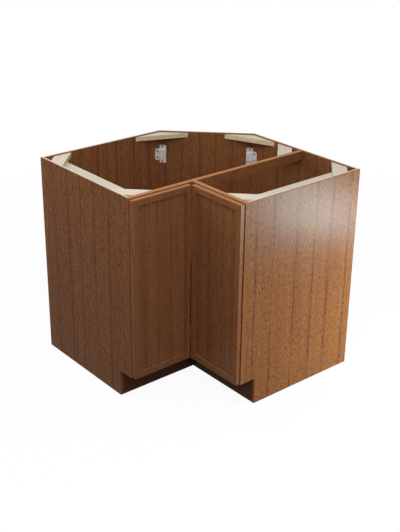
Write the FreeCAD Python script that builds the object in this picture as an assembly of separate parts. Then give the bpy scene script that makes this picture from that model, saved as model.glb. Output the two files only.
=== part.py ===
"""Corner base cabinet with a clipped rear corner and a bi-fold pair of doors.

Frame: millimetres, +Z up, origin on the floor at the centre of the square that holds the cabinet.
The left arm runs along the wall at +Y and its front faces -Y. The right arm runs along the wall at
+X and its front faces -X. The cabinet is the same on both sides of the plane x = y, apart from the
long top rail, so most right-hand pieces are left-hand ones mirrored in that plane.
"""
import math
import os

import FreeCAD
import Part
from FreeCAD import Vector

# Overall size
WALL_RUN = 914.4
ARM_DEPTH = 609.6
HEIGHT = 876.3
REAR_CLIP = 304.8
KICK_HEIGHT = 114.3
KICK_DEPTH = 76.2

# Boards
PANEL_T = 12.7
FRAME_T = 19.05
FRAME_W = 38.1
FLOOR_T = 12.7
GROOVE = 6.35
KICK_T = 12.7
SHELF_T = 19.05
SHELF_Z = 495.3
SHELF_SET_BACK = 25.4
SHELF_CLEAR = 2.0

# Corner blocks and flat stretchers at the top
BLOCK_T = 19.05
BLOCK_DROP = 4.0
BLOCK_LEG = 128.5
BLOCK_CLIP = 45.0
BLOCK_SPACING = 20.0
STRETCHER_W = 76.2
STRETCHER_T = 12.7

# Shelf pins and their holes
PIN_R = 2.5
PIN_HOLE_R = 2.6
PIN_IN = 8.5
PIN_HOLE_DEPTH = 9.5
PIN_HOLE_STEP = 32.0
PIN_HOLE_LEVELS = 2
PIN_FROM_BACK = 70.0
PIN_FROM_FRONT = 60.0
PIN_FROM_CLIP = 80.0
SPOON_LEN = 11.0
SPOON_W = 12.0
SPOON_T = 3.0
FLANGE_H = 16.0
FLANGE_T = 1.5

# Corner brackets
BRACKET_T = 2.0
TONGUE_T = 2.0
BRIDGE_H = 81.0
BRIDGE_S0 = 2.0
BRIDGE_S1 = 31.0
BRIDGE_TAB = 18.5
BRIDGE_LIFT = 1.2
TONGUE_LEN = 24.0
TONGUE_SIDE_CLEAR = 0.5
WING_H = 53.0
WING_W = 23.5
WING_CHAMFER = 6.5
BRIDGE_HOLE_S = 14.0
BRIDGE_TAB_HOLE = 6.5
WING_HOLE_S = 10.0
WING_HOLE_PITCH = 29.5
UPPER_BRACKET_Z = 772.0
LOWER_BRACKET_Z = 262.0

# Doors
DOOR_T = 19.05
DOOR_GAP = 2.5
DOOR_REVEAL = 3.0
DOOR_TOP_DROP = 4.0
DOOR_BOTTOM_LIFT = 4.0
MEETING_GAP = 1.6
DOOR_FRAME_W = 25.4
DOOR_PANEL_T = 6.35
DOOR_RECESS = 8.0
DOOR_GROOVE = 9.0
DOOR_PANEL_PLAY = 1.0
DOOR_EASE = 1.2
BUMPER_R = 4.0
BUMPER_T = 2.0

# Hinges on the stile and between the doors
KNUCKLE_R = 2.2
HINGE_PIN_R = 1.2
HINGE_PIN_CLEAR = 0.05
KNUCKLE_END_GAP = 0.4
KNUCKLE_RELIEF = 0.4
HINGE_H = 64.0
HINGE_END_KNUCKLE = 20.0
LEAF_T = 1.0
LEAF_W = 24.0
LEAF_START = 3.0
DOOR_LEAF_W = 19.0
FOLD_AXIS_IN = 3.4
FOLD_LEAF_T = 1.6
FOLD_LEAF_W = 13.0
HINGE_FROM_END = 90.0
LEAF_SCREW_IN = 9.0
LEAF_SCREW_STAGGER = 3.5
LEAF_SCREW_END = 10.0
FOLD_SCREW_END = 14.0

# Screws
SCREW_R = 1.5
SCREW_PILOT_CLEAR = 0.1
SCREW_HEAD_R = 3.0
SCREW_LEN = 10.5
PAN_HEAD_R = 4.0
PAN_TOP_R = 2.4
PAN_HEAD_H = 2.4
PAN_LEN = 9.5
RECESS_W = 0.9
RECESS_SPAN = 3.2
RECESS_DEPTH = 0.6

# Derived planes
half = WALL_RUN / 2
face = half - ARM_DEPTH
frame_back = face + FRAME_T
side_in = -half + PANEL_T
wall_in = half - PANEL_T
kick_face = face + KICK_DEPTH
clip_out = half - REAR_CLIP
clip_in = half + clip_out - PANEL_T * math.sqrt(2) - wall_in
stile_in = -half + FRAME_W
rail_top_z = HEIGHT - FRAME_W
bottom_rail_top = KICK_HEIGHT + FRAME_W
floor_z = bottom_rail_top - FLOOR_T
block_top = HEIGHT - BLOCK_DROP
block_z = block_top - BLOCK_T
stretcher_z = block_z - STRETCHER_T
block_leg = min(BLOCK_LEG, (clip_in - frame_back - BLOCK_SPACING) / 2)

door_back = face - DOOR_GAP
door_front = door_back - DOOR_T
door_edge = -half + DOOR_REVEAL
door_meet = door_front - MEETING_GAP
door_z0 = KICK_HEIGHT + DOOR_BOTTOM_LIFT
door_z1 = HEIGHT - DOOR_TOP_DROP
panel_front = door_front + DOOR_RECESS
panel_back = panel_front + DOOR_PANEL_T

hinge_x = door_edge
hinge_y = face - DOOR_GAP / 2
fold_xy = door_meet + FOLD_AXIS_IN
upper_hinge_z = door_z1 - HINGE_FROM_END - HINGE_H
lower_hinge_z = door_z0 + HINGE_FROM_END
HINGE_LEVELS = (lower_hinge_z, upper_hinge_z)

UP = Vector(0, 0, 1)


def prism(points, z0, z1):
    """Upright solid on a plan outline."""
    corners = [Vector(x, y, z0) for x, y in points]
    outline = Part.makePolygon(corners + corners[:1])
    return Part.Face(outline).extrude(Vector(0, 0, z1 - z0))


def box(x0, x1, y0, y1, z0, z1):
    return Part.makeBox(x1 - x0, y1 - y0, z1 - z0, Vector(x0, y0, z0))


def mirrored(shape):
    """Solid mirrored in the plane x = y."""
    return shape.mirror(Vector(0, 0, 0), Vector(1, -1, 0))


def rod(radius, start, direction, length):
    return Part.makeCylinder(radius, length, start, direction)


def wall_points(wall, along_in):
    """Plan points from a corner frame: (corner, along, inward) and pairs of distances."""
    corner, along, inward = wall
    return [
        (corner[0] + s * along[0] + w * inward[0], corner[1] + s * along[1] + w * inward[1])
        for s, w in along_in
    ]


def wall_point(wall, s, w, z):
    x, y = wall_points(wall, [(s, w)])[0]
    return Vector(x, y, z)


def wall_slab(wall, s0, s1, w0, w1, z0, z1):
    return prism(wall_points(wall, [(s0, w0), (s1, w0), (s1, w1), (s0, w1)]), z0, z1)


def wall_in_vector(wall):
    return Vector(wall[2][0], wall[2][1], 0)


nodes = {}

# Set-back of a 45 degree bend, per thickness of plate
BEND_SHARE = math.tan(math.pi / 8)

# Walls seen from inside: corner, direction along the wall, direction into the cabinet
ROOT_HALF = math.sqrt(0.5)
left_back_wall = ((clip_in, wall_in), (-1, 0), (0, -1))
right_back_wall = ((wall_in, clip_in), (0, -1), (-1, 0))
diagonal_from_left = ((clip_in, wall_in), (ROOT_HALF, -ROOT_HALF), (-ROOT_HALF, -ROOT_HALF))
diagonal_from_right = ((wall_in, clip_in), (-ROOT_HALF, ROOT_HALF), (-ROOT_HALF, -ROOT_HALF))
left_side_wall = ((side_in, wall_in), (0, -1), (1, 0))
right_side_wall = ((wall_in, side_in), (-1, 0), (0, 1))

# Floor, let into the panels, with its front edge against the bottom rails
floor_plan = [
    (side_in - GROOVE, frame_back), (frame_back, frame_back), (frame_back, side_in - GROOVE),
    (wall_in + GROOVE, side_in - GROOVE), (wall_in + GROOVE, clip_in + GROOVE * (math.sqrt(2) - 1)),
    (clip_in + GROOVE * (math.sqrt(2) - 1), wall_in + GROOVE), (side_in - GROOVE, wall_in + GROOVE),
]
floor = prism(floor_plan, floor_z, bottom_rail_top)
nodes["floor_panel"] = floor

# Side panels with the toe-kick notch, and the three back panels mitred where they meet
side_panel = box(-half, side_in, frame_back, half, 0, HEIGHT)
side_panel = side_panel.cut(box(-half, side_in, frame_back, kick_face, 0, KICK_HEIGHT))
back_panel = prism(
    [(side_in, half), (clip_out, half), (clip_in, wall_in), (side_in, wall_in)], 0, HEIGHT)
diagonal_panel = prism(
    [(clip_out, half), (half, clip_out), (wall_in, clip_in), (clip_in, wall_in)], 0, HEIGHT)
panels = {
    "left_side_panel": side_panel.cut(floor),
    "right_side_panel": mirrored(side_panel).cut(floor),
    "left_back_panel": back_panel.cut(floor),
    "right_back_panel": mirrored(back_panel).cut(floor),
    "diagonal_back_panel": diagonal_panel.cut(floor),
}

# Toe kick boards
nodes["left_toe_kick"] = box(side_in, kick_face + KICK_T, kick_face, kick_face + KICK_T, 0, floor_z)
nodes["right_toe_kick"] = box(kick_face, kick_face + KICK_T, side_in, kick_face, 0, floor_z)

# Face frame, with no post at the inner corner: the long top rail carries that corner instead
left_stile = box(-half, stile_in, face, frame_back, KICK_HEIGHT, HEIGHT)
nodes["long_top_rail"] = box(stile_in, wall_in, face, frame_back, rail_top_z, HEIGHT)
nodes["right_top_rail"] = box(face, frame_back, stile_in, face, rail_top_z, HEIGHT)
nodes["left_bottom_rail"] = box(
    stile_in, frame_back, face, frame_back, KICK_HEIGHT, bottom_rail_top)
nodes["right_bottom_rail"] = box(
    face, frame_back, stile_in, face, KICK_HEIGHT, bottom_rail_top)
nodes["right_frame_stile"] = mirrored(left_stile)


def corner_block(x, y, dx, dy):
    """Triangular block in a right-angled corner, with the corner itself cut off."""
    plan = [
        (x + dx * BLOCK_CLIP, y), (x + dx * block_leg, y),
        (x, y + dy * block_leg), (x, y + dy * BLOCK_CLIP),
    ]
    return prism(plan, block_z, block_top)


def obtuse_block(along_back, along_diagonal):
    """Triangular block in the obtuse corner of a back panel and the diagonal panel."""
    plan = [
        wall_points(along_back, [(block_leg, 0)])[0], along_back[0],
        wall_points(along_diagonal, [(block_leg, 0)])[0],
    ]
    return prism(plan, block_z, block_top)


# Corner blocks
nodes["left_front_block"] = corner_block(side_in, frame_back, 1, 1)
nodes["right_front_block"] = corner_block(frame_back, side_in, 1, 1)
nodes["left_rear_block"] = corner_block(side_in, wall_in, 1, -1)
nodes["right_rear_block"] = corner_block(wall_in, side_in, -1, 1)
nodes["rail_end_block"] = corner_block(wall_in, frame_back, -1, 1)
nodes["left_obtuse_block"] = obtuse_block(left_back_wall, diagonal_from_left)
nodes["right_obtuse_block"] = obtuse_block(right_back_wall, diagonal_from_right)

# Flat stretchers under the blocks
left_stretcher = box(
    side_in, side_in + STRETCHER_W, frame_back, wall_in, stretcher_z, block_z)
nodes["left_top_stretcher"] = left_stretcher
nodes["right_top_stretcher"] = mirrored(left_stretcher)

# Shelf with the same outline as the floor, clear of the walls and set back from the frame
shelf_front = frame_back + SHELF_SET_BACK
shelf_side = side_in + SHELF_CLEAR
shelf_wall = wall_in - SHELF_CLEAR
shelf_clip = clip_in - SHELF_CLEAR * (math.sqrt(2) - 1)
nodes["shelf"] = prism(
    [
        (shelf_side, shelf_front), (shelf_front, shelf_front), (shelf_front, shelf_side),
        (shelf_wall, shelf_side), (shelf_wall, shelf_clip), (shelf_clip, shelf_wall),
        (shelf_side, shelf_wall),
    ],
    SHELF_Z, SHELF_Z + SHELF_T)

# Shelf pins: a round pin in the panel, a flange against it and a flat spoon under the shelf
diagonal_len = math.sqrt(2) * (wall_in - clip_in)
front_pin = wall_in - shelf_front - PIN_FROM_FRONT
pin_places = [
    ("left_side_panel", left_side_wall, PIN_FROM_BACK),
    ("left_side_panel", left_side_wall, front_pin),
    ("right_side_panel", right_side_wall, PIN_FROM_BACK),
    ("right_side_panel", right_side_wall, front_pin),
    ("left_back_panel", left_back_wall, PIN_FROM_CLIP),
    ("right_back_panel", right_back_wall, PIN_FROM_CLIP),
    ("diagonal_back_panel", diagonal_from_left, diagonal_len / 2),
]
pin_z = SHELF_Z - PIN_R
shelf_pins = []
for panel_name, wall, s in pin_places:
    inward = wall_in_vector(wall)
    centre = wall_point(wall, s, 0, pin_z)
    pin = rod(PIN_R, centre - inward * PIN_IN, inward, PIN_IN + FLANGE_T)
    flange = wall_slab(
        wall, s - SPOON_W / 2, s + SPOON_W / 2, 0, FLANGE_T, SHELF_Z - FLANGE_H, SHELF_Z)
    spoon = wall_slab(
        wall, s - SPOON_W / 2, s + SPOON_W / 2, 0, SPOON_LEN, SHELF_Z - SPOON_T, SHELF_Z)
    shelf_pins.append(pin.fuse([flange, spoon]).removeSplitter())
    for level in range(-PIN_HOLE_LEVELS, PIN_HOLE_LEVELS + 1):
        mouth = wall_point(wall, s, 0, pin_z + level * PIN_HOLE_STEP)
        hole = rod(PIN_HOLE_R, mouth - inward * PIN_HOLE_DEPTH, inward, PIN_HOLE_DEPTH)
        panels[panel_name] = panels[panel_name].cut(hole)
nodes["shelf_pins"] = Part.makeCompound(shelf_pins)


def cross_recess(head_top, outward):
    """Cross-shaped room for a driver, sunk into the top of a screw's head."""
    across = outward.cross(UP)
    arms = []
    for wide, tall in ((RECESS_W, RECESS_SPAN), (RECESS_SPAN, RECESS_W)):
        rim = [
            head_top + across * (u * wide / 2) + UP * (v * tall / 2)
            for u, v in ((-1, -1), (1, -1), (1, 1), (-1, 1))
        ]
        arms.append(Part.Face(Part.makePolygon(rim + rim[:1])).extrude(outward * -RECESS_DEPTH))
    return arms[0].fuse(arms[1]).removeSplitter()


def pan_screw(surface, inward):
    """Pan-head screw with its head standing on a plate, driven against the inward direction."""
    head = Part.makeCone(PAN_HEAD_R, PAN_TOP_R, PAN_HEAD_H, surface, inward)
    shank = rod(SCREW_R, surface - inward * PAN_LEN, inward, PAN_LEN)
    screw = head.fuse(shank).removeSplitter()
    return screw.cut(cross_recess(surface + inward * PAN_HEAD_H, inward))


def pilot(surface, inward, length):
    return rod(SCREW_R + SCREW_PILOT_CLEAR, surface - inward * length, inward, length)


def bracket(back_wall, diagonal, back_name, centre_z, screws):
    """Bridge plate on the diagonal panel and tongue plate on the back panel, screwed on."""
    half_h = BRIDGE_H / 2
    lift = TONGUE_T + BRIDGE_LIFT
    foot = half_h - BRIDGE_TAB
    crest = foot - lift
    bend = BRACKET_T * BEND_SHARE
    under = [(half_h, 0), (foot, 0), (crest, lift)]
    over = [(crest + bend, lift + BRACKET_T), (foot + bend, BRACKET_T), (half_h, BRACKET_T)]
    profile = under + [(-z, w) for z, w in reversed(under)]
    profile += [(-z, w) for z, w in reversed(over)] + over
    edge = [wall_point(diagonal, BRIDGE_S0, w, centre_z + z) for z, w in profile]
    reach = wall_point(diagonal, BRIDGE_S1, 0, 0) - wall_point(diagonal, BRIDGE_S0, 0, 0)
    bridge = Part.Face(Part.makePolygon(edge + edge[:1])).extrude(reach)

    wing_outline = [
        (0, -WING_H / 2), (WING_W - WING_CHAMFER, -WING_H / 2),
        (WING_W, -WING_H / 2 + WING_CHAMFER), (WING_W, WING_H / 2 - WING_CHAMFER),
        (WING_W - WING_CHAMFER, WING_H / 2), (0, WING_H / 2),
    ]
    corners = [wall_point(back_wall, s, 0, centre_z + z) for s, z in wing_outline]
    wing = Part.Face(Part.makePolygon(corners + corners[:1])).extrude(
        wall_in_vector(back_wall) * TONGUE_T)
    fold_in = TONGUE_T * BEND_SHARE
    tongue_plan = wall_points(
        diagonal, [(0, 0), (TONGUE_LEN, 0), (TONGUE_LEN, TONGUE_T), (fold_in, TONGUE_T)])
    tongue_half = foot - TONGUE_T - TONGUE_SIDE_CLEAR
    tongue = prism(tongue_plan, centre_z - tongue_half, centre_z + tongue_half)
    tongue = wing.fuse(tongue).removeSplitter()

    for side in (-1, 1):
        places = (
            (diagonal, "diagonal_back_panel", BRIDGE_HOLE_S, side * (half_h - BRIDGE_TAB_HOLE), BRACKET_T),
            (back_wall, back_name, WING_HOLE_S, side * WING_HOLE_PITCH / 2, TONGUE_T),
        )
        for wall, panel_name, s, dz, plate_t in places:
            inward = wall_in_vector(wall)
            surface = wall_point(wall, s, plate_t, centre_z + dz)
            hole = pilot(surface, inward, PAN_LEN + SCREW_PILOT_CLEAR)
            screws.append(pan_screw(surface, inward))
            panels[panel_name] = panels[panel_name].cut(hole)
            bridge = bridge.cut(hole)
            tongue = tongue.cut(hole)
    return bridge, tongue


# Corner brackets, an upper and a lower one in each obtuse corner
bracket_screws = []
bracket_sides = (
    ("left", left_back_wall, diagonal_from_left),
    ("right", right_back_wall, diagonal_from_right),
)
for side_name, back_wall, diagonal in bracket_sides:
    pairs = [
        bracket(back_wall, diagonal, side_name + "_back_panel", centre_z, bracket_screws)
        for centre_z in (LOWER_BRACKET_Z, UPPER_BRACKET_Z)
    ]
    nodes[side_name + "_bracket_bridges"] = Part.makeCompound([pair[0] for pair in pairs])
    nodes[side_name + "_bracket_tongues"] = Part.makeCompound([pair[1] for pair in pairs])
nodes["bracket_screws"] = Part.makeCompound(bracket_screws)


def eased(piece, planes):
    """Piece with its front edges rounded where they lie on an outer plane of the door."""
    edges = []
    for edge in piece.Edges:
        ends = [vertex.Point for vertex in edge.Vertexes]
        in_front = all(math.isclose(end.y, door_front) for end in ends)
        outer = any(
            all(math.isclose(end[axis], level) for end in ends) for axis, level in planes)
        if in_front and outer:
            edges.append(edge)
    return piece.makeFillet(DOOR_EASE, edges)


def door_pieces():
    """Frame and panel of the left door, which is the right door's mirror image."""
    inner_edge = door_edge + DOOR_FRAME_W
    inner_meet = door_meet - DOOR_FRAME_W
    rail_z0 = door_z0 + DOOR_FRAME_W
    rail_z1 = door_z1 - DOOR_FRAME_W
    groove_room = box(
        inner_edge - DOOR_GROOVE, inner_meet + DOOR_GROOVE, panel_front, panel_back,
        rail_z0 - DOOR_GROOVE, rail_z1 + DOOR_GROOVE)
    tongues = {
        "outer": box(inner_edge - DOOR_GROOVE, inner_edge, panel_front, panel_back, door_z0, door_z1),
        "meeting": box(inner_meet, inner_meet + DOOR_GROOVE, panel_front, panel_back, door_z0, door_z1),
    }
    outer = box(door_edge, inner_edge, door_front, door_back, door_z0, door_z1)
    meeting = box(inner_meet, door_meet, door_front, door_back, door_z0, door_z1)
    rail_span = box(
        inner_edge - DOOR_GROOVE, inner_meet + DOOR_GROOVE, panel_front, panel_back, door_z0, rail_z0)
    bottom = box(inner_edge, inner_meet, door_front, door_back, door_z0, rail_z0).fuse(rail_span)
    bottom = bottom.removeSplitter().cut(groove_room)
    top_span = box(
        inner_edge - DOOR_GROOVE, inner_meet + DOOR_GROOVE, panel_front, panel_back, rail_z1, door_z1)
    top = box(inner_edge, inner_meet, door_front, door_back, rail_z1, door_z1).fuse(top_span)
    top = top.removeSplitter().cut(groove_room)
    reach = DOOR_GROOVE - DOOR_PANEL_PLAY
    panel = box(
        inner_edge - reach, inner_meet + reach, panel_front, panel_back,
        rail_z0 - reach, rail_z1 + reach)
    low = (2, door_z0)
    high = (2, door_z1)
    return {
        "outer": eased(outer.cut(tongues["outer"]), ((0, door_edge), low, high)),
        "meeting": eased(meeting.cut(tongues["meeting"]), ((0, door_meet), low, high)),
        "top": eased(top, (high,)),
        "bottom": eased(bottom, (low,)),
        "panel": panel,
    }


door = door_pieces()
right_door = {name: mirrored(shape) for name, shape in door.items()}


def knuckles(x, y, z0, z_pairs):
    """Hinge barrel sections with the hole for the pin."""
    tubes = []
    for a, b in z_pairs:
        outer = rod(KNUCKLE_R, Vector(x, y, z0 + a), UP, b - a)
        bore = rod(HINGE_PIN_R + HINGE_PIN_CLEAR, Vector(x, y, z0 + a), UP, b - a)
        tubes.append(outer.cut(bore))
    return tubes


END_KNUCKLES = ((0, HINGE_END_KNUCKLE), (HINGE_H - HINGE_END_KNUCKLE, HINGE_H))
MIDDLE_KNUCKLE = (
    (HINGE_END_KNUCKLE + KNUCKLE_END_GAP, HINGE_H - HINGE_END_KNUCKLE - KNUCKLE_END_GAP),
)


def flat_screw(surface, outward, leaf_t):
    """Countersunk screw whose head ends flush with the leaf."""
    head = Part.makeCone(SCREW_R, SCREW_HEAD_R, leaf_t, surface - outward * leaf_t, outward)
    shank = rod(SCREW_R, surface - outward * SCREW_LEN, outward, SCREW_LEN - leaf_t)
    return head.fuse(shank).removeSplitter().cut(cross_recess(surface, outward))


def countersink(surface, outward, leaf_t):
    """Room for such a screw in the leaf and in the wood behind it."""
    clear = SCREW_PILOT_CLEAR
    head = Part.makeCone(
        SCREW_R + clear, SCREW_HEAD_R + clear, leaf_t, surface - outward * leaf_t, outward)
    hole = rod(
        SCREW_R + clear, surface - outward * (SCREW_LEN + clear), outward, SCREW_LEN + clear)
    return head.fuse(hole)


def leaf(plate, tubes, ears, bore):
    """Plate with its knuckles; the ears join them beside the other leaf's knuckles."""
    return plate.fuse(list(tubes) + list(ears)).removeSplitter().cut(bore)


# Hinges of the left door on the left stile
stile_leaves = []
door_leaves = []
hinge_pins = []
stile_screws = []
door_screws = []
leaf_screws = (
    (LEAF_SCREW_IN, LEAF_SCREW_END),
    (LEAF_SCREW_IN + LEAF_SCREW_STAGGER, HINGE_H / 2),
    (LEAF_SCREW_IN, HINGE_H - LEAF_SCREW_END),
)
out_y = Vector(0, -1, 0)
in_y = Vector(0, 1, 0)
for z0 in HINGE_LEVELS:
    bore = rod(HINGE_PIN_R + HINGE_PIN_CLEAR, Vector(hinge_x, hinge_y, z0), UP, HINGE_H)
    relief = rod(
        KNUCKLE_R + KNUCKLE_RELIEF, Vector(hinge_x, hinge_y, z0 - KNUCKLE_RELIEF), UP,
        HINGE_H + 2 * KNUCKLE_RELIEF)
    left_stile = left_stile.cut(relief)
    door["outer"] = door["outer"].cut(relief)

    stile_leaf = leaf(
        box(hinge_x + LEAF_START, hinge_x + LEAF_W, face - LEAF_T, face, z0, z0 + HINGE_H),
        knuckles(hinge_x, hinge_y, z0, END_KNUCKLES),
        [box(hinge_x, hinge_x + LEAF_START, face - LEAF_T, face, z0 + a, z0 + b)
         for a, b in END_KNUCKLES],
        bore)
    door_leaf = leaf(
        box(hinge_x + LEAF_START, hinge_x + DOOR_LEAF_W, door_back, door_back + LEAF_T,
            z0, z0 + HINGE_H),
        knuckles(hinge_x, hinge_y, z0, MIDDLE_KNUCKLE),
        [box(hinge_x, hinge_x + LEAF_START, door_back, door_back + LEAF_T, z0 + a, z0 + b)
         for a, b in MIDDLE_KNUCKLE],
        bore)
    for s, dz in leaf_screws:
        at_stile = Vector(hinge_x + s, face - LEAF_T, z0 + dz)
        stile_screws.append(flat_screw(at_stile, out_y, LEAF_T))
        room = countersink(at_stile, out_y, LEAF_T)
        stile_leaf = stile_leaf.cut(room)
        left_stile = left_stile.cut(room)
        at_door = Vector(hinge_x + s, door_back + LEAF_T, z0 + dz)
        door_screws.append(flat_screw(at_door, in_y, LEAF_T))
        room = countersink(at_door, in_y, LEAF_T)
        door_leaf = door_leaf.cut(room)
        door["outer"] = door["outer"].cut(room)
    stile_leaves.append(stile_leaf)
    door_leaves.append(door_leaf)
    hinge_pins.append(rod(HINGE_PIN_R, Vector(hinge_x, hinge_y, z0), UP, HINGE_H))

# Hinges between the two doors, on the end faces of the meeting stiles
fold_left_leaves = []
fold_right_leaves = []
fold_pins = []
fold_left_screws = []
fold_right_screws = []
out_x = Vector(1, 0, 0)
for z0 in HINGE_LEVELS:
    bore = rod(HINGE_PIN_R + HINGE_PIN_CLEAR, Vector(fold_xy, fold_xy, z0), UP, HINGE_H)
    leaf_y = fold_xy + LEAF_START
    halves = []
    for z_pairs in (END_KNUCKLES, MIDDLE_KNUCKLE):
        plate = box(
            door_meet, door_meet + FOLD_LEAF_T, leaf_y, leaf_y + FOLD_LEAF_W, z0, z0 + HINGE_H)
        ears = [
            box(door_meet, door_meet + FOLD_LEAF_T, fold_xy, leaf_y, z0 + a, z0 + b)
            for a, b in z_pairs
        ]
        halves.append(leaf(plate, knuckles(fold_xy, fold_xy, z0, z_pairs), ears, bore))
    for dz in (FOLD_SCREW_END, HINGE_H - FOLD_SCREW_END):
        at_end = Vector(door_meet + FOLD_LEAF_T, leaf_y + FOLD_LEAF_W / 2, z0 + dz)
        room = countersink(at_end, out_x, FOLD_LEAF_T)
        screw = flat_screw(at_end, out_x, FOLD_LEAF_T)
        halves = [half_leaf.cut(room) for half_leaf in halves]
        door["meeting"] = door["meeting"].cut(room)
        right_door["meeting"] = right_door["meeting"].cut(mirrored(room))
        fold_left_screws.append(screw)
        fold_right_screws.append(mirrored(screw))
    fold_left_leaves.append(halves[0])
    fold_right_leaves.append(mirrored(halves[1]))
    fold_pins.append(rod(HINGE_PIN_R, Vector(fold_xy, fold_xy, z0), UP, HINGE_H))


def bumper(x, z):
    return rod(BUMPER_R, Vector(x, door_back, z), in_y, BUMPER_T)


# Bumpers, where each door meets the frame when it shuts
bumper_z = (door_z0 + DOOR_FRAME_W / 2, door_z1 - DOOR_FRAME_W / 2)
nodes["left_door_bumpers"] = Part.makeCompound(
    [bumper(door_meet - DOOR_FRAME_W, z) for z in bumper_z])
nodes["right_door_bumpers"] = Part.makeCompound(
    [mirrored(bumper(door_edge + DOOR_FRAME_W / 2, z)) for z in bumper_z])

nodes.update(panels)
nodes["left_frame_stile"] = left_stile
nodes["left_door_hinge_stile"] = door["outer"]
nodes["left_door_meeting_stile"] = door["meeting"]
nodes["left_door_top_rail"] = door["top"]
nodes["left_door_bottom_rail"] = door["bottom"]
nodes["left_door_panel"] = door["panel"]
nodes["right_door_outer_stile"] = right_door["outer"]
nodes["right_door_meeting_stile"] = right_door["meeting"]
nodes["right_door_top_rail"] = right_door["top"]
nodes["right_door_bottom_rail"] = right_door["bottom"]
nodes["right_door_panel"] = right_door["panel"]
for index, level_name in enumerate(("lower", "upper")):
    nodes[level_name + "_hinge_frame_leaf"] = stile_leaves[index]
    nodes[level_name + "_hinge_door_leaf"] = door_leaves[index]
    nodes[level_name + "_fold_left_leaf"] = fold_left_leaves[index]
    nodes[level_name + "_fold_right_leaf"] = fold_right_leaves[index]
nodes["hinge_pins"] = Part.makeCompound(hinge_pins)
nodes["hinge_frame_screws"] = Part.makeCompound(stile_screws)
nodes["hinge_door_screws"] = Part.makeCompound(door_screws)
nodes["fold_hinge_pins"] = Part.makeCompound(fold_pins)
nodes["fold_left_screws"] = Part.makeCompound(fold_left_screws)
nodes["fold_right_screws"] = Part.makeCompound(fold_right_screws)

os.makedirs("parts", exist_ok=True)
for name, shape in nodes.items():
    shape.exportStep("parts/" + name + ".step")

print("joint axes, mm:", round(hinge_x, 3), round(hinge_y, 3), round(fold_xy, 3))
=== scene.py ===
"""Corner base cabinet with a bi-fold pair of doors, dressed for the studio.

Laid out as an add-on: property groups hold the finish, the screws and the studio, one operator
dresses each group of pieces, and main() runs them in order. Metres, in the frame of the solids.
"""
import math

import bmesh
import bpy
import numpy as np
from bpy.props import FloatProperty, FloatVectorProperty, PointerProperty
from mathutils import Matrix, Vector


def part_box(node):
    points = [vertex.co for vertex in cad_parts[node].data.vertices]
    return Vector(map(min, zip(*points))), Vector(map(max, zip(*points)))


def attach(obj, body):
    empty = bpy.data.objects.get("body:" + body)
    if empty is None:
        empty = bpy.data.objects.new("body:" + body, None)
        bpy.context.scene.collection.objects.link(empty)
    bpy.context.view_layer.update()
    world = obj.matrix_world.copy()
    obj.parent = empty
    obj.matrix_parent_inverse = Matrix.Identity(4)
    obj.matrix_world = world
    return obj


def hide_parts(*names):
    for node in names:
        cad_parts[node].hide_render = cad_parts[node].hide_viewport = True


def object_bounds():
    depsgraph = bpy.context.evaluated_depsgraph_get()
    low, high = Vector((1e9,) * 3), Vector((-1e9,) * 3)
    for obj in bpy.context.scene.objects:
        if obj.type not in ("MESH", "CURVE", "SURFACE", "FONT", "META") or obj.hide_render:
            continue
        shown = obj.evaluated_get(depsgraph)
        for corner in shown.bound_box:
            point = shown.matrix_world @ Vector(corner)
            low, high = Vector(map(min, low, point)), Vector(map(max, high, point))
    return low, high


bl_info = {
    "name": "Corner Base Cabinet",
    "version": (1, 0, 0),
    "blender": (4, 5, 0),
    "location": "View3D > Sidebar > Cabinet",
    "description": "Finishes, screws and studio of a corner base cabinet",
    "category": "Object",
}

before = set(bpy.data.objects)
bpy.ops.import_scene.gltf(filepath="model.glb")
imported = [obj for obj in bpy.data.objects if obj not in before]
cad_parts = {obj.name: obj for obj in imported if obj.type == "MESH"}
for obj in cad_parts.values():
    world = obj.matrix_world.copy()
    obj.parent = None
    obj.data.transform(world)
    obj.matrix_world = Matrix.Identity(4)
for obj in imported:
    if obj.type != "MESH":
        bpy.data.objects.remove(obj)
CAD_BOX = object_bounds()
TOP_Z = CAD_BOX[1].z

# Nodes by the board or metal that they are cut from
FLAT_BOARDS = ("floor_panel", "shelf")
UPRIGHT_FRAME = ("left_frame_stile", "right_frame_stile")
LEVEL_FRAME = ("long_top_rail", "right_top_rail", "left_bottom_rail", "right_bottom_rail")
KICK_BOARDS = ("left_toe_kick", "right_toe_kick")
BLOCKS_FALLING = (
    "left_front_block", "right_front_block", "left_obtuse_block", "right_obtuse_block",
)
BLOCKS_RISING = ("left_rear_block", "right_rear_block", "rail_end_block")
DOOR_UPRIGHT = (
    "left_door_hinge_stile", "left_door_meeting_stile", "left_door_panel",
    "right_door_outer_stile", "right_door_meeting_stile", "right_door_panel",
)
DOOR_LEVEL = (
    "left_door_top_rail", "left_door_bottom_rail", "right_door_top_rail", "right_door_bottom_rail",
)
ZINC_PIECES = (
    "left_bracket_bridges", "left_bracket_tongues", "right_bracket_bridges",
    "right_bracket_tongues", "shelf_pins",
)
BRONZE_PIECES = (
    "lower_hinge_frame_leaf", "upper_hinge_frame_leaf", "lower_hinge_door_leaf",
    "upper_hinge_door_leaf", "lower_fold_left_leaf", "upper_fold_left_leaf",
    "lower_fold_right_leaf", "upper_fold_right_leaf", "hinge_pins", "fold_hinge_pins",
)
BUMPERS = ("left_door_bumpers", "right_door_bumpers")
PAN_SCREWS = (("bracket_screws", "carcass"),)
FLAT_SCREWS = (
    ("hinge_frame_screws", "carcass"), ("hinge_door_screws", "left_door"),
    ("fold_left_screws", "left_door"), ("fold_right_screws", "right_door"),
)

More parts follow.
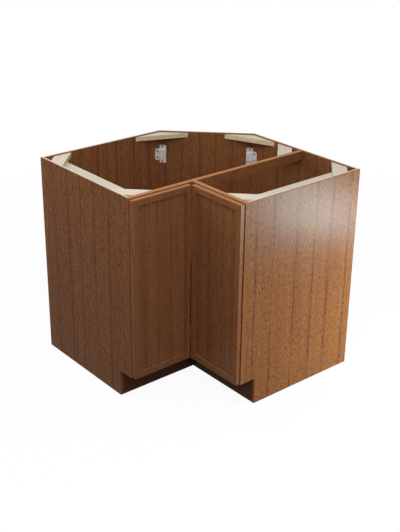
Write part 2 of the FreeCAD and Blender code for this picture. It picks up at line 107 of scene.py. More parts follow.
# Directions across, through and along the grain, as weights of X, Y and Z
GRAIN = {
    "upright": ((1, -1, 0), (1, 1, 0), (0, 0, 1)),
    "level": ((0, 0, 1), (1, 1, 0), (1, -1, 0)),
    "flat": ((0, 1, 0), (0, 0, 1), (1, 0, 0)),
    "along_y": ((1, 0, 0), (0, 0, 1), (0, 1, 0)),
    "falling": ((0.7, 0.7, 0), (0, 0, 1), (0.7, -0.7, 0)),
    "rising": ((0.7, -0.7, 0), (0, 0, 1), (0.7, 0.7, 0)),
}

# Figure of the wood: spacing and half width of the mineral streaks, and how dark streaks and
# pores are, in sheets of veneer outside and inside and in narrow boards
SHEET_FIGURE = {"step": 0.100, "half": 0.0110, "streaks": 1.20, "pores": 0.95}
INSIDE_FIGURE = {"step": 0.100, "half": 0.0090, "streaks": 1.15, "pores": 0.65}
BOARD_FIGURE = {"step": 0.065, "half": 0.0085, "streaks": 0.75, "pores": 0.60}
# Gloss of the rubbed satin lacquer on the carcass, and of the fuller coat on the doors
CARCASS_GLOSS = 0.030
DOOR_GLOSS = 0.060
# Roughness of the lacquer, and how much a mineral streak covers, both between and over the pores
LACQUER_ROUGHNESS = (0.33, 0.36)
STREAK_COVER = (0.55, 0.90)
# Thickness of one ply, how deep the bare cut edge of the plywood goes, and how far the stain of
# a face runs in over that edge
PLY = 0.00254
CUT_EDGE = 0.0006
STAINED_ARRIS = 0.0052
# How far up a face looks to count as level, and the band below the top that holds the upper edges;
# these pick the faces that get painted top light
LEVEL_FACE = 0.6
EDGE_BAND = 0.02
# Share of the lighter edge colour on the upper edges, partly thin stain and partly painted top
# light, and of painted highlight on the ledges below
FRAME_LIT_EDGES = (0.70, 0.10)
DOOR_LIT_EDGES = (0.45, 0.10)
DIAGONAL_LIT_EDGES = (0.35, 0.0)
# Tone of the cloudy patches on steel, as a share of the tone beside them
CLOUD_TONE = 0.80

# Screws: points this near in the solids are one, and those past this share of the greatest
# radius are the rim of the head
SAME_POINT = 1e-6
HEAD_RIM = 0.98
# Sides of the head and the shank, length of the cross recess in radii of the flat, and height of
# its cutter in heights of the head, half of it in the head
HEAD_SIDES = 24
SHANK_SIDES = 16
RECESS_LENGTH = 1.25
RECESS_CUTTER = 1.1

# The floor lies just below the underside, so that the two planes stay apart
FLOOR_DROP = 0.0005
# Camera: focal length in millimetres, shift, place, and the degrees that it looks down and turns
LENS = 65.72
LENS_SHIFT = (0.0500, -0.0218)
CAMERA_PLACE = (-2.3894, -2.8536, 2.1431)
CAMERA_DOWN = 24.17
CAMERA_TURN = -38.44


def linear(hex_colour):
    """sRGB hex colour as linear red, green, blue and alpha."""
    channels = [int(hex_colour[i:i + 2], 16) / 255 for i in (1, 3, 5)]
    straight = [c / 12.92 if c <= 0.04045 else ((c + 0.055) / 1.055) ** 2.4 for c in channels]
    return (*straight, 1.0)


def add(tree, kind, inputs=None, out=None, **settings):
    """Adds a node with its settings, sets or links its inputs, and gives it or one output."""
    node = tree.nodes.new(kind)
    for name, value in settings.items():
        setattr(node, name, value)
    for key, value in (inputs or {}).items():
        if isinstance(value, bpy.types.NodeSocket):
            tree.links.new(value, node.inputs[key])
        else:
            node.inputs[key].default_value = value
    return node if out is None else node.outputs[out]


def colour_property(name, description, hex_colour):
    """Colour that a user can change, from its sRGB hex value."""
    return FloatVectorProperty(
        name=name, description=description, subtype="COLOR", size=4, min=0, max=1,
        default=linear(hex_colour))


class CabinetFinish(bpy.types.PropertyGroup):
    """Colours of the wood and the metal."""
    stain: colour_property("Stain", "Body colour of the stained wood", "#8b5e36")
    # Darker stain for the sheets deep in the corner: painted shade
    stain_inside_shaded: colour_property("Stain, inside", "Darker sheets deep in the corner", "#835833")
    stain_doors: colour_property("Stain, doors", "Body colour of the doors", "#8a5d39")
    stain_dark: colour_property("Stain, dark", "Late wood and pores in the stain", "#572d1b")
    stain_red: colour_property("Stain, red", "Redder bands along the grain", "#7d4d33")
    stain_streak: colour_property("Streak", "Long mineral streaks in the veneer", "#583329")
    # Lighter orange for faces that look up: partly thin stain, partly painted top light
    stain_edge_and_top_light: colour_property("Edge", "Upper edges, where the stain is thin", "#bd7f4c")
    # Darker stain of the toe kick: painted shade under the overhang
    kick_stain_shaded: colour_property("Kick stain", "Darker board of the toe kick", "#644329")
    raw_wood: colour_property("Bare wood", "Tops of the corner blocks, and cut edges", "#d6cbb9")
    raw_stretcher: colour_property("Bare stretchers", "Flat stretchers at the top", "#d0c5b5")
    raw_dark: colour_property("Bare wood, dark", "Grain and darker plies", "#c3ac97")
    # Sides of the blocks and their grain are drawn darker than the tops: painted shade on faces
    # that do not look up
    raw_side_shaded: colour_property("Bare wood, sides", "Sawn sides of the corner blocks", "#d2be9c")
    raw_line_shaded: colour_property("Bare wood, lines", "Grain on the sawn sides", "#a58a66")
    zinc: colour_property("Zinc", "Plated brackets and pins", "#eeeae7")
    bronze: colour_property("Bronze", "Bronze coat of the hinge leaves and pins", "#6a4a36")
    screw: colour_property("Screws", "Blackened screws", "#4a3a2d")
    bumper: colour_property("Bumper", "Soft bumpers behind the doors", "#c9c2b8")


class CabinetScrews(bpy.types.PropertyGroup):
    """Sizes of the screws that the brackets and hinges are held by."""
    pan_radius: FloatProperty(
        name="Pan head radius", description="Radius of a bracket screw's head",
        default=0.0040, unit="LENGTH")
    pan_crown: FloatProperty(
        name="Pan head crown", description="Radius of the flat on a bracket screw's head",
        default=0.0024, unit="LENGTH")
    pan_height: FloatProperty(
        name="Pan head height", description="Height of a bracket screw's head",
        default=0.0024, unit="LENGTH")
    flat_radius: FloatProperty(
        name="Flat head radius", description="Radius of a hinge screw's head",
        default=0.0030, unit="LENGTH")
    flat_height: FloatProperty(
        name="Flat head height", description="Depth of a hinge screw's countersunk head",
        default=0.0010, unit="LENGTH")
    shank_radius: FloatProperty(
        name="Shank radius", description="Radius of the shank", default=0.0015, unit="LENGTH")
    shank_length: FloatProperty(
        name="Shank length", description="Length of the shank in the wood",
        default=0.0090, unit="LENGTH")
    recess_width: FloatProperty(
        name="Recess width", description="Width of one arm of the cross recess",
        default=0.0009, unit="LENGTH")


class CabinetStudio(bpy.types.PropertyGroup):
    """Light and floor of the studio."""
    key_power: FloatProperty(
        name="Key power", description="Power of the softbox at the right front",
        default=38.5, unit="POWER")
    key_tint: FloatVectorProperty(
        name="Key tint", description="Colour of the softbox at the right front",
        subtype="COLOR", size=3, min=0, max=1, default=(0.90, 1.0, 0.97))
    gleam_power: FloatProperty(
        name="Gleam power", description="Power of the panel that the right side reflects",
        default=33.0, unit="POWER")
    gleam_tint: FloatVectorProperty(
        name="Gleam tint", description="Colour of the panel that the right side reflects",
        subtype="COLOR", size=3, min=0, max=1, default=(0.72, 0.96, 1.0))
    fill_power: FloatProperty(
        name="Fill power", description="Power of the softbox above the front",
        default=40.0, unit="POWER")
    side_power: FloatProperty(
        name="Side power", description="Power of the softbox at the left",
        default=18.5, unit="POWER")
    top_power: FloatProperty(
        name="Top power", description="Power of the overhead softbox",
        default=7.0, unit="POWER")
    ambient: FloatProperty(
        name="Ambient", description="Strength of the even light from all round", default=0.35)
    floor_size: FloatProperty(
        name="Floor size", description="Side of the square floor", default=40.0, unit="LENGTH")
    floor_glow: FloatProperty(
        name="Floor glow", description="Share of plain white in the floor near the object",
        default=0.94, subtype="FACTOR", min=0, max=1)
    floor_near: FloatProperty(
        name="Floor near", description="Radius within which the floor shows the shadow",
        default=1.0, unit="LENGTH")
    floor_far: FloatProperty(
        name="Floor far", description="Radius beyond which the floor is plain white",
        default=3.0, unit="LENGTH")
    floor_paper: colour_property("Floor paper", "Floor as it is seen", "#fafafa")
    floor_bounce: colour_property("Floor bounce", "Floor that throws light back", "#525252")


def new_material(name):
    """Material with an empty tree."""
    material = bpy.data.materials.new(name)
    material.use_nodes = True
    material.node_tree.nodes.clear()
    return material, material.node_tree


def close_material(tree, inputs):
    """Ends a tree in one principled surface."""
    surface = add(tree, "ShaderNodeBsdfPrincipled", inputs, out="BSDF")
    add(tree, "ShaderNodeOutputMaterial", {"Surface": surface})


def grain_space(tree, direction):
    """Object coordinates turned so that X is across the grain and Z along it."""
    place = add(tree, "ShaderNodeTexCoord", out="Object")
    across, through, along = [
        add(tree, "ShaderNodeVectorMath", {0: place, 1: weights}, out="Value",
            operation="DOT_PRODUCT")
        for weights in GRAIN[direction]
    ]
    return add(tree, "ShaderNodeCombineXYZ", {"X": across, "Y": through, "Z": along}, out="Vector")


def mottle(tree, space, across_mm, along_mm, levels, strength=(0.0, 1.0), detail=2.0, seed=0.0):
    """Soft patches of so many millimetres across and along the grain.

    What lies between the two levels of the noise is spread over the two strengths.
    """
    scaled = add(tree, "ShaderNodeMapping", {
        "Vector": space,
        "Location": (seed, seed * 0.7, seed * 1.3),
        "Scale": (1000 / across_mm, 1000 / across_mm, 1000 / along_mm),
    }, out="Vector")
    noise = add(tree, "ShaderNodeTexNoise", {
        "Vector": scaled, "Scale": 1.0, "Detail": detail, "Roughness": 0.6}, out="Fac")
    return add(tree, "ShaderNodeMapRange", {
        "Value": noise, "From Min": levels[0], "From Max": levels[1],
        "To Min": strength[0], "To Max": strength[1],
    }, out="Result", interpolation_type="SMOOTHSTEP")


def coats_over(tree, colour, *coats):
    """Colour under coats, each a mask and the colour that shows where its mask is one."""
    for mask, tone in coats:
        colour = add(tree, "ShaderNodeMix", {0: mask, 6: colour, 7: tone}, out=2, data_type="RGBA")
    return colour


def upward(tree):
    """How far a face looks up: one on level faces, zero on upright ones."""
    normal = add(tree, "ShaderNodeNewGeometry", out="True Normal")
    return add(tree, "ShaderNodeSeparateXYZ", {"Vector": normal}, out="Z")


def height(tree):
    """Height above the floor."""
    place = add(tree, "ShaderNodeTexCoord", out="Object")
    return add(tree, "ShaderNodeSeparateXYZ", {"Vector": place}, out="Z")


def thin_stain_and_top_light(tree, lit_top_share, ledge_highlight_share):
    """Share of lighter colour on level faces: partly thin stain and partly painted top light at the
    cabinet's top, and painted highlight on the ledges below.
    """
    level = add(tree, "ShaderNodeMath", {0: upward(tree), 1: LEVEL_FACE}, out="Value",
                operation="GREATER_THAN")
    share = add(tree, "ShaderNodeMapRange", {
        "Value": height(tree), "From Min": TOP_Z - EDGE_BAND, "From Max": TOP_Z - EDGE_BAND / 2,
        "To Min": ledge_highlight_share, "To Max": lit_top_share}, out="Result")
    return add(tree, "ShaderNodeMath", {0: level, 1: share}, out="Value", operation="MULTIPLY")


def mineral_streaks(tree, space, figure, pores):
    """Long purplish lines at uneven steps, faded in patches and broken up by the pores."""
    across = add(tree, "ShaderNodeSeparateXYZ", {"Vector": space}, out="X")
    wander = mottle(tree, space, 160, 420, levels=(0.0, 1.0), strength=(0.0, 0.18), detail=1.0,
                    seed=1.9)
    place = add(tree, "ShaderNodeMath", {0: across, 1: 1 / figure["step"], 2: wander}, out="Value",
                operation="MULTIPLY_ADD")
    middle = add(tree, "ShaderNodeTexVoronoi", {"W": place, "Scale": 1.0, "Randomness": 0.5},
                 out="Distance", voronoi_dimensions="1D", feature="DISTANCE_TO_EDGE")
    line = add(tree, "ShaderNodeMapRange", {
        "Value": middle, "From Max": figure["half"] / figure["step"], "To Min": 1.0, "To Max": 0.0,
    }, out="Result", interpolation_type="SMOOTHSTEP")
    patches = mottle(tree, space, 40, 120, levels=(0.36, 0.62), strength=(0.35, 1.0), seed=5.3)
    thin, full = (cover * figure["streaks"] for cover in STREAK_COVER)
    broken = add(tree, "ShaderNodeMapRange", {"Value": pores, "To Min": thin, "To Max": full},
                 out="Result")
    faded = add(tree, "ShaderNodeMath", {0: line, 1: patches}, out="Value", operation="MULTIPLY")
    return add(tree, "ShaderNodeMath", {0: faded, 1: broken}, out="Value", operation="MULTIPLY")


def stained_grain(tree, finish, direction, figure, tones):
    """Colour and pores of brown stained wood.

    The eye sees soft lighter and darker bands along the grain, short dark pores, and long purplish
    mineral streaks at uneven steps. The pores are drawn 3.2 mm wide, coarser than life, to show.
    """
    space = grain_space(tree, direction)
    body, band_tone = tones
    bands = mottle(tree, space, 38, 900, levels=(0.30, 0.70), strength=(0.0, 0.75), detail=3.0,
                   seed=3.1)
    pores = mottle(tree, space, 3.2, 16, levels=(0.45, 0.66), detail=1.5, seed=7.7)
    filled = add(tree, "ShaderNodeMath", {0: pores, 1: figure["pores"]}, out="Value",
                 operation="MULTIPLY")
    streaks = mineral_streaks(tree, space, figure, pores)
    colour = coats_over(tree, body, (bands, band_tone), (streaks, finish.stain_streak),
                        (filled, finish.stain_dark))
    return colour, pores


def satin_lacquer(tree, pores, gloss):
    """Thin satin lacquer over open pores: a low broad sheen with shallow pits."""
    between, over = LACQUER_ROUGHNESS
    roughness = add(tree, "ShaderNodeMapRange", {
        "Value": pores, "To Min": between, "To Max": over}, out="Result")
    pits = add(tree, "ShaderNodeBump", {"Height": pores, "Strength": 0.02, "Distance": 0.0004},
               out="Normal", invert=True)
    return {"Roughness": roughness, "Normal": pits, "Specular IOR Level": gloss}


def behind_face(tree, panel, axis):
    """Depth behind one face of a panel: the outer one of a side, the inner one of a back."""
    place = add(tree, "ShaderNodeTexCoord", out="Object")
    across = add(tree, "ShaderNodeSeparateXYZ", {"Vector": place}, out=axis)
    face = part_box(panel)[0]["XYZ".index(axis)]
    return add(tree, "ShaderNodeMath", {0: across, 1: face}, out="Value", operation="SUBTRACT")


def cut_ply(tree, finish, depth):
    """Bare cut edge of plywood: pale and darker plies in turn, with fuzzy fibres."""
    place = add(tree, "ShaderNodeTexCoord", out="Object")
    plies = add(tree, "ShaderNodeMath", {0: depth, 1: 1 / PLY}, out="Value", operation="MULTIPLY")
    turns = add(tree, "ShaderNodeMath", {0: plies, 1: 1.0}, out="Value", operation="PINGPONG")
    layers = add(tree, "ShaderNodeMapRange", {"Value": turns, "From Min": 0.25, "From Max": 0.75},
                 out="Result", interpolation_type="SMOOTHSTEP")
    fibres = mottle(tree, place, 6, 6, levels=(0.3, 0.7), strength=(0.25, 0.7), seed=4.4)
    dark = add(tree, "ShaderNodeMath", {0: layers, 1: fibres}, out="Value", operation="MULTIPLY")
    return coats_over(tree, finish.raw_wood, (dark, finish.raw_dark))


def stained_veneer(name, finish, direction, tones, figure=SHEET_FIGURE, bare_top=None):
    """Lacquered veneer on plywood.

    With a panel and the axis through it, the panel's top edge is bare, as it was cut.
    """
    material, tree = new_material(name)
    colour, pores = stained_grain(tree, finish, direction, figure, tones)
    if bare_top:
        depth = behind_face(tree, *bare_top)
        top = add(tree, "ShaderNodeMath", {0: height(tree), 1: TOP_Z - CUT_EDGE}, out="Value",
                  operation="GREATER_THAN")
        bare = add(tree, "ShaderNodeMath", {0: depth, 1: STAINED_ARRIS}, out="Value",
                   operation="GREATER_THAN")
        cut = add(tree, "ShaderNodeMath", {0: top, 1: bare}, out="Value", operation="MULTIPLY")
        colour = coats_over(tree, colour, (cut, cut_ply(tree, finish, depth)))
    close_material(tree, {"Base Color": colour, **satin_lacquer(tree, pores, CARCASS_GLOSS)})
    return material


def stained_board(name, finish, direction, tones, figure=BOARD_FIGURE, gloss=CARCASS_GLOSS,
                  edges=FRAME_LIT_EDGES):
    """Lacquered solid wood, with a lighter, warmer colour on the faces that look up: partly thin
    stain, partly painted top light.
    """
    material, tree = new_material(name)
    colour, pores = stained_grain(tree, finish, direction, figure, tones)
    # Faces that look up are drawn lighter: painted top light on the upper edges, partly thin stain,
    # and painted highlight on the ledges
    colour = coats_over(tree, colour, (thin_stain_and_top_light(tree, *edges), finish.stain_edge_and_top_light))
    close_material(tree, {"Base Color": colour, **satin_lacquer(tree, pores, gloss)})
    return material


def bare_softwood(name, finish, top_tone, direction):
    """Sawn pale wood with no finish: dull, with faint straight grain, and sides drawn darker than
    the tops as painted shade.
    """
    material, tree = new_material(name)
    space = grain_space(tree, direction)
    # Faces that do not look up take a darker tone and darker grain: painted shade
    sides = add(tree, "ShaderNodeMapRange", {
        "Value": upward(tree), "From Min": 0.3, "From Max": 0.7, "To Min": 1.0, "To Max": 0.0,
    }, out="Result")
    rings = mottle(tree, space, 9, 260, levels=(0.42, 0.72), strength=(0.0, 0.45), detail=3.0,
                   seed=2.2)
    fuzz = mottle(tree, space, 2.5, 30, levels=(0.55, 0.75), strength=(0.0, 0.25), seed=6.1)
    body = coats_over(tree, top_tone, (sides, finish.raw_side_shaded))
    lines = coats_over(tree, finish.raw_dark, (sides, finish.raw_line_shaded))
    sawn = add(tree, "ShaderNodeBump", {"Height": fuzz, "Strength": 0.4, "Distance": 0.0003},
               out="Normal")
    close_material(tree, {
        "Base Color": coats_over(tree, body, (rings, lines), (fuzz, lines)),
        "Roughness": 0.8, "IOR": 1.35, "Normal": sawn})
    return material


def plated_steel(name, base, roughness, metallic=1.0, gloss=0.5):
    """Steel with a plated, coated or blackened skin: cloudy patches in its tone and gloss."""
    material, tree = new_material(name)
    place = add(tree, "ShaderNodeTexCoord", out="Object")
    clouds = mottle(tree, place, 11, 11, levels=(0.35, 0.65), detail=3.0, seed=8.8)
    shade = (*(CLOUD_TONE * channel for channel in base[:3]), 1.0)
    polish = add(tree, "ShaderNodeMapRange", {
        "Value": clouds, "To Min": roughness[0], "To Max": roughness[1]}, out="Result")
    close_material(tree, {
        "Base Color": coats_over(tree, base, (clouds, shade)),
        "Roughness": polish, "Metallic": metallic, "Specular IOR Level": gloss})
    return material


def soft_rubber(name, finish):
    """Pale soft bumper, slightly cloudy and dusty."""
    material, tree = new_material(name)
    place = add(tree, "ShaderNodeTexCoord", out="Object")
    dust = mottle(tree, place, 3, 3, levels=(0.4, 0.7), strength=(0.0, 0.3), seed=1.4)
    close_material(tree, {
        "Base Color": coats_over(tree, finish.bumper, (dust, finish.raw_dark)), "Roughness": 0.45})
    return material


def dress(nodes, material):
    """Gives CAD nodes a finish."""
    for name in nodes:
        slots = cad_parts[name].data.materials
        slots.clear()
        slots.append(material)


def screw_seats(node):
    """Middle of each screw's head and the way that it faces, read from the solids of a node."""
    cloud = bmesh.new()
    cloud.from_mesh(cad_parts[node].data)
    bmesh.ops.remove_doubles(cloud, verts=cloud.verts, dist=SAME_POINT)
    # A dict keeps its order, so that the screws come in the same order each run
    waiting = dict.fromkeys(cloud.verts)
    seats = []
    while waiting:
        island = [waiting.popitem()[0]]
        for vert in island:
            near = [edge.other_vert(vert) for edge in vert.link_edges]
            fresh = [other for other in near if other in waiting]
            for other in fresh:
                del waiting[other]
            island.extend(fresh)
        points = np.array([vert.co for vert in island])
        middle = (points.min(0) + points.max(0)) / 2
        axis = np.linalg.svd(points - points.mean(0), full_matrices=False)[2][0]
        reach = (points - middle) @ axis
        spread = np.linalg.norm(points - middle - np.outer(reach, axis), axis=1)
        if reach[spread.argmax()] < 0:
            axis, reach = -axis, -reach
        on_axis = points[spread > spread.max() * HEAD_RIM].mean(0)
        head = on_axis + axis * (reach.max() - (on_axis - middle) @ axis)
        seats.append((Vector(head), Vector(axis)))
    cloud.free()
    return seats


def screw_tree():
    """Screw with a cross recess, set on points that carry the way it faces."""
    tree = bpy.data.node_groups.new("cross_recess_screws", "GeometryNodeTree")
    tree.interface.new_socket(name="Geometry", in_out="INPUT", socket_type="NodeSocketGeometry")
    for name in ("Lower Radius", "Upper Radius", "Head Height", "Shank Radius", "Shank Length",
                 "Recess Width"):
        size = tree.interface.new_socket(name=name, in_out="INPUT", socket_type="NodeSocketFloat")
        size.subtype = "DISTANCE"
    tree.interface.new_socket(name="Finish", in_out="INPUT", socket_type="NodeSocketMaterial")
    tree.interface.new_socket(name="Geometry", in_out="OUTPUT", socket_type="NodeSocketGeometry")
    given = add(tree, "NodeGroupInput").outputs

    head = add(tree, "GeometryNodeMeshCone", {
        "Vertices": HEAD_SIDES, "Radius Bottom": given["Lower Radius"],
        "Radius Top": given["Upper Radius"], "Depth": given["Head Height"]}, out="Mesh")
    arm = add(tree, "ShaderNodeMath", {0: given["Upper Radius"], 1: RECESS_LENGTH}, out="Value",
              operation="MULTIPLY")
    deep = add(tree, "ShaderNodeMath", {0: given["Head Height"], 1: RECESS_CUTTER}, out="Value",
               operation="MULTIPLY")
    crown = add(tree, "ShaderNodeCombineXYZ", {"Z": given["Head Height"]}, out="Vector")
    recess = add(tree, "GeometryNodeMeshBoolean", {"Mesh 1": head}, operation="DIFFERENCE")
    for wide, tall in ((arm, given["Recess Width"]), (given["Recess Width"], arm)):
        slot = add(tree, "ShaderNodeCombineXYZ", {"X": wide, "Y": tall, "Z": deep}, out="Vector")
        cut = add(tree, "GeometryNodeMeshCube", {"Size": slot}, out="Mesh")
        raised = add(tree, "GeometryNodeTransform", {"Geometry": cut, "Translation": crown},
                     out="Geometry")
        tree.links.new(raised, recess.inputs["Mesh 2"])

    shank = add(tree, "GeometryNodeMeshCylinder", {
        "Vertices": SHANK_SIDES, "Radius": given["Shank Radius"],
        "Depth": given["Shank Length"]}, out="Mesh")
    half_down = add(tree, "ShaderNodeMath", {0: given["Shank Length"], 1: -0.5}, out="Value",
                    operation="MULTIPLY")
    below = add(tree, "ShaderNodeCombineXYZ", {"Z": half_down}, out="Vector")
    hung = add(tree, "GeometryNodeTransform", {"Geometry": shank, "Translation": below},
               out="Geometry")
    whole = add(tree, "GeometryNodeJoinGeometry")
    tree.links.new(recess.outputs["Mesh"], whole.inputs["Geometry"])
    tree.links.new(hung, whole.inputs["Geometry"])

    sink = add(tree, "ShaderNodeMath", {0: given["Head Height"], 1: -1.0}, out="Value",
               operation="MULTIPLY")
    drop = add(tree, "ShaderNodeCombineXYZ", {"Z": sink}, out="Vector")
    seated = add(tree, "GeometryNodeTransform", {
        "Geometry": whole.outputs["Geometry"], "Translation": drop}, out="Geometry")
    facing = add(tree, "GeometryNodeInputNamedAttribute", {"Name": "facing"}, out="Attribute",
                 data_type="FLOAT_VECTOR")
    turn = add(tree, "FunctionNodeAlignRotationToVector", {"Vector": facing}, out="Rotation",
               axis="Z")
    placed = add(tree, "GeometryNodeInstanceOnPoints", {
        "Points": given["Geometry"], "Instance": seated, "Rotation": turn}, out="Instances")
    real = add(tree, "GeometryNodeRealizeInstances", {"Geometry": placed}, out="Geometry")
    painted = add(tree, "GeometryNodeSetMaterial", {"Geometry": real, "Material": given["Finish"]},
                  out="Geometry")
    add(tree, "NodeGroupOutput", {"Geometry": painted})
    return tree


def set_screws(tree, node, body, inputs):
    """Screws with a cross recess in place of a node's plain ones."""
    seats = screw_seats(node)
    points = bpy.data.meshes.new(node + "_seats")
    points.from_pydata([head for head, way in seats], [], [])
    facing = points.attributes.new("facing", "FLOAT_VECTOR", "POINT")
    facing.data.foreach_set("vector", [part for head, way in seats for part in way])
    piece = bpy.data.objects.new(node + "_driven", points)
    bpy.context.scene.collection.objects.link(piece)
    modifier = piece.modifiers.new("screws", "NODES")
    modifier.node_group = tree
    for item in tree.interface.items_tree:
        if item.in_out == "INPUT" and item.name in inputs:
            modifier[item.identifier] = inputs[item.name]
    shown = piece.evaluated_get(bpy.context.evaluated_depsgraph_get())
    made = bpy.data.meshes.new_from_object(shown)
    piece.modifiers.clear()
    piece.data = made
    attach(piece, body)
    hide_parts(node)


class CABINET_OT_panels(bpy.types.Operator):
    """Finish the side panels, back panels, floor and shelf"""
    bl_idname = "cabinet.panels"
    bl_label = "Panels"

    def execute(self, context):
        finish = context.scene.cabinet_finish
        tones = (finish.stain, finish.stain_red)
        # The right back and diagonal sheets deep in the corner get the darker stain, as painted
        # shade
        shaded_inner_tones = (finish.stain_inside_shaded, finish.stain_red)
        for panel, axis, sheet, figure in (
            ("left_side_panel", "X", tones, SHEET_FIGURE),
            ("right_side_panel", "Y", tones, SHEET_FIGURE),
            ("left_back_panel", "Y", tones, INSIDE_FIGURE),
            ("right_back_panel", "X", shaded_inner_tones, INSIDE_FIGURE),
        ):
            dress((panel,), stained_veneer("stained_veneer_" + panel, finish, "upright", sheet,
                                           figure, bare_top=(panel, axis)))
        back = stained_board("stained_veneer_diagonal", finish, "upright", shaded_inner_tones,
                             INSIDE_FIGURE, edges=DIAGONAL_LIT_EDGES)
        dress(("diagonal_back_panel",), back)
        dress(FLAT_BOARDS, stained_veneer("stained_veneer_flat", finish, "flat", tones))
        return {"FINISHED"}


class CABINET_OT_face_frame(bpy.types.Operator):
    """Finish the face frame and the toe kick boards"""
    bl_idname = "cabinet.face_frame"
    bl_label = "Face frame"

    def execute(self, context):
        finish = context.scene.cabinet_finish
        tones = (finish.stain, finish.stain_red)
        dress(UPRIGHT_FRAME, stained_board("stained_hardwood_upright", finish, "upright", tones))
        dress(LEVEL_FRAME, stained_board("stained_hardwood_level", finish, "level", tones))
        # The toe kick boards take the darker stain, as painted shade under the overhang
        shaded_kick_tones = (finish.kick_stain_shaded, finish.stain_dark)
        dress(KICK_BOARDS, stained_veneer("stained_veneer_kick_shade", finish, "level", shaded_kick_tones))
        return {"FINISHED"}


class CABINET_OT_top_bracing(bpy.types.Operator):
    """Finish the corner blocks and the flat stretchers"""
    bl_idname = "cabinet.top_bracing"
    bl_label = "Top bracing"

    def execute(self, context):
        finish = context.scene.cabinet_finish
        for name, nodes, top_tone, direction in (
            ("bare_softwood_falling", BLOCKS_FALLING, finish.raw_wood, "falling"),
            ("bare_softwood_rising", BLOCKS_RISING, finish.raw_wood, "rising"),
            ("bare_softwood_y", ("left_top_stretcher",), finish.raw_stretcher, "along_y"),
            ("bare_softwood_x", ("right_top_stretcher",), finish.raw_stretcher, "flat"),
        ):
            dress(nodes, bare_softwood(name, finish, top_tone, direction))
        return {"FINISHED"}


class CABINET_OT_doors(bpy.types.Operator):
    """Finish the two doors"""
    bl_idname = "cabinet.doors"
    bl_label = "Doors"

    def execute(self, context):
        finish = context.scene.cabinet_finish
        tones = (finish.stain_doors, finish.stain_red)
        for nodes, direction in ((DOOR_UPRIGHT, "upright"), (DOOR_LEVEL, "level")):
            dress(nodes, stained_board("stained_door_" + direction, finish, direction, tones,
                                       gloss=DOOR_GLOSS, edges=DOOR_LIT_EDGES))
        return {"FINISHED"}


class CABINET_OT_hardware(bpy.types.Operator):
    """Finish the brackets, shelf pins, hinges and bumpers"""
    bl_idname = "cabinet.hardware"
    bl_label = "Hardware"

    def execute(self, context):
        finish = context.scene.cabinet_finish
        # Dull zinc and a bronze coat scatter much of their light, so both are less than full metals
        plating = plated_steel("zinc_plated_steel", finish.zinc, roughness=(0.40, 0.55),
                               metallic=0.3)
        dress(ZINC_PIECES, plating)
        coat = plated_steel("bronze_coated_steel", finish.bronze, roughness=(0.45, 0.60),
                            metallic=0.1, gloss=0.15)
        dress(BRONZE_PIECES, coat)
        dress(BUMPERS, soft_rubber("soft_pale_rubber", finish))
        return {"FINISHED"}


class CABINET_OT_screws(bpy.types.Operator):
    """Set screws with a cross recess in the brackets and hinges"""
    bl_idname = "cabinet.screws"
    bl_label = "Screws"

    def execute(self, context):
        finish = context.scene.cabinet_finish
        sizes = context.scene.cabinet_screws
        tree = screw_tree()
        shared = {
            "Shank Radius": sizes.shank_radius, "Shank Length": sizes.shank_length,
            "Recess Width": sizes.recess_width,
            "Finish": plated_steel("blackened_steel_screw", finish.screw, roughness=(0.32, 0.48)),
        }
        pan = {
            "Lower Radius": sizes.pan_radius, "Upper Radius": sizes.pan_crown,
            "Head Height": sizes.pan_height, **shared,
        }
        flat = {
            "Lower Radius": sizes.shank_radius, "Upper Radius": sizes.flat_radius,
            "Head Height": sizes.flat_height, **shared,
        }
        for node, body in PAN_SCREWS:
            set_screws(tree, node, body, pan)
        for node, body in FLAT_SCREWS:
            set_screws(tree, node, body, flat)
        return {"FINISHED"}


def softbox(name, place, aim, size, power, tint=(1, 1, 1), lights=True, gleams=True):
    """Lamp that looks at a point, and lights surfaces, shows in their gloss, or does both."""
    lamp = bpy.data.lights.new(name, "AREA")
    lamp.shape = "RECTANGLE"
    lamp.size, lamp.size_y = size
    lamp.energy = power
    lamp.color = tint
    body = bpy.data.objects.new(name, lamp)
    body.location = place
    body.rotation_euler = (Vector(aim) - Vector(place)).to_track_quat("-Z", "Y").to_euler()
    body.visible_camera = False
    body.visible_diffuse = lights
    body.visible_glossy = gleams
    bpy.context.scene.collection.objects.link(body)


def seen_directly(tree):
    """One for rays from the camera, from gloss and through glass."""
    path = add(tree, "ShaderNodeLightPath").outputs
    first = add(tree, "ShaderNodeMath", {0: path["Is Camera Ray"], 1: path["Is Glossy Ray"]},
                out="Value", operation="MAXIMUM")
    return add(tree, "ShaderNodeMath", {0: first, 1: path["Is Transmission Ray"]},
               out="Value", operation="MAXIMUM")


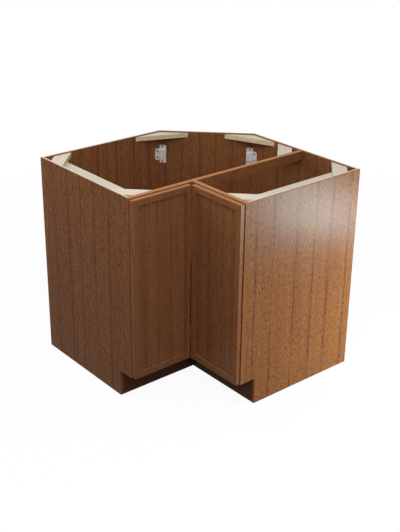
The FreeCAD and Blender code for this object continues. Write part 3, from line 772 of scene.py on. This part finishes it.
def pale_floor(studio):
    """White floor that keeps a faint shadow near the object and throws little light back."""
    half = studio.floor_size / 2
    corners = [(-half, -half, 0), (half, -half, 0), (half, half, 0), (-half, half, 0)]
    mesh = bpy.data.meshes.new("studio_floor")
    mesh.from_pydata(corners, [], [(0, 1, 2, 3)])
    floor = bpy.data.objects.new("studio_floor", mesh)
    floor.location.z = -FLOOR_DROP
    bpy.context.scene.collection.objects.link(floor)
    material, tree = new_material("studio_floor")
    direct = seen_directly(tree)
    colour = coats_over(tree, studio.floor_bounce, (direct, studio.floor_paper))
    paper = add(tree, "ShaderNodeBsdfDiffuse", {"Color": colour}, out="BSDF")
    glow = add(tree, "ShaderNodeEmission", {"Color": (1, 1, 1, 1), "Strength": 1.0},
               out="Emission")
    place = add(tree, "ShaderNodeTexCoord", out="Object")
    radius = add(tree, "ShaderNodeVectorMath", {0: place}, out="Value", operation="LENGTH")
    white = add(tree, "ShaderNodeMapRange", {
        "Value": radius, "From Min": studio.floor_near, "From Max": studio.floor_far,
        "To Min": studio.floor_glow, "To Max": 1.0,
    }, out="Result", interpolation_type="SMOOTHSTEP")
    share = add(tree, "ShaderNodeMath", {0: direct, 1: white}, out="Value", operation="MULTIPLY")
    mixed = add(tree, "ShaderNodeMixShader", {0: share, 1: paper, 2: glow}, out="Shader")
    add(tree, "ShaderNodeOutputMaterial", {"Surface": mixed})
    mesh.materials.append(material)


def white_surround(ambient):
    """World that lights evenly and looks white."""
    world = bpy.data.worlds.new("studio")
    bpy.context.scene.world = world
    world.use_nodes = True
    tree = world.node_tree
    tree.nodes.clear()
    strength = add(tree, "ShaderNodeMapRange", {
        "Value": seen_directly(tree), "To Min": ambient, "To Max": 1.0}, out="Result")
    back = add(tree, "ShaderNodeBackground", {"Color": (1, 1, 1, 1), "Strength": strength},
               out="Background")
    add(tree, "ShaderNodeOutputWorld", {"Surface": back})


class CABINET_OT_studio(bpy.types.Operator):
    """Set up the floor, the light and the camera"""
    bl_idname = "cabinet.studio"
    bl_label = "Studio"

    def execute(self, context):
        studio = context.scene.cabinet_studio
        pale_floor(studio)
        white_surround(studio.ambient)
        softbox("key_softbox", place=(1.22, -1.30, 0.22), aim=(0.15, -0.45, 0.60),
                size=(0.50, 0.22), power=studio.key_power, tint=studio.key_tint, gleams=False)
        softbox("gleam_panel", place=(0.87, -1.10, 0.41), aim=(0.18, -0.45, 0.70),
                size=(0.44, 0.22), power=studio.gleam_power, tint=studio.gleam_tint, lights=False)
        softbox("fill_softbox", place=(-1.08, -1.45, 2.35), aim=(-0.2, -0.2, 0.5),
                size=(2.0, 2.0), power=studio.fill_power)
        softbox("side_softbox", place=(-1.65, 1.15, 1.9), aim=(-0.45, 0.1, 0.6),
                size=(1.4, 1.4), power=studio.side_power)
        softbox("top_softbox", place=(0.6, 0.7, 3.0), aim=(0.1, 0.1, 0.8),
                size=(2.4, 2.4), power=studio.top_power)
        lens = bpy.data.cameras.new("camera")
        lens.lens = LENS
        lens.shift_x, lens.shift_y = LENS_SHIFT
        camera = bpy.data.objects.new("camera", lens)
        camera.location = CAMERA_PLACE
        camera.rotation_euler = (math.radians(90 - CAMERA_DOWN), 0, math.radians(CAMERA_TURN))
        context.scene.collection.objects.link(camera)
        context.scene.camera = camera
        context.scene.view_settings.view_transform = "Standard"
        return {"FINISHED"}


OPERATORS = (
    CABINET_OT_panels, CABINET_OT_face_frame, CABINET_OT_top_bracing, CABINET_OT_doors,
    CABINET_OT_hardware, CABINET_OT_screws, CABINET_OT_studio,
)


class CABINET_PT_sidebar(bpy.types.Panel):
    """Cabinet tools in the sidebar"""
    bl_idname = "CABINET_PT_sidebar"
    bl_label = "Corner cabinet"
    bl_space_type = "VIEW_3D"
    bl_region_type = "UI"
    bl_category = "Cabinet"

    def draw(self, context):
        for operator in OPERATORS:
            self.layout.operator(operator.bl_idname)


CLASSES = (CabinetFinish, CabinetScrews, CabinetStudio, *OPERATORS, CABINET_PT_sidebar)


def register():
    """Adds the classes and the settings of the scene."""
    for cls in CLASSES:
        bpy.utils.register_class(cls)
    bpy.types.Scene.cabinet_finish = PointerProperty(type=CabinetFinish)
    bpy.types.Scene.cabinet_screws = PointerProperty(type=CabinetScrews)
    bpy.types.Scene.cabinet_studio = PointerProperty(type=CabinetStudio)


def unregister():
    """Takes the settings and the classes out again."""
    del bpy.types.Scene.cabinet_studio
    del bpy.types.Scene.cabinet_screws
    del bpy.types.Scene.cabinet_finish
    for cls in reversed(CLASSES):
        bpy.utils.unregister_class(cls)


def main():
    """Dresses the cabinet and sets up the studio."""
    register()
    bpy.ops.cabinet.panels()
    bpy.ops.cabinet.face_frame()
    bpy.ops.cabinet.top_bracing()
    bpy.ops.cabinet.doors()
    bpy.ops.cabinet.hardware()
    bpy.ops.cabinet.screws()
    bpy.ops.cabinet.studio()


if __name__ == "__main__":
    main()
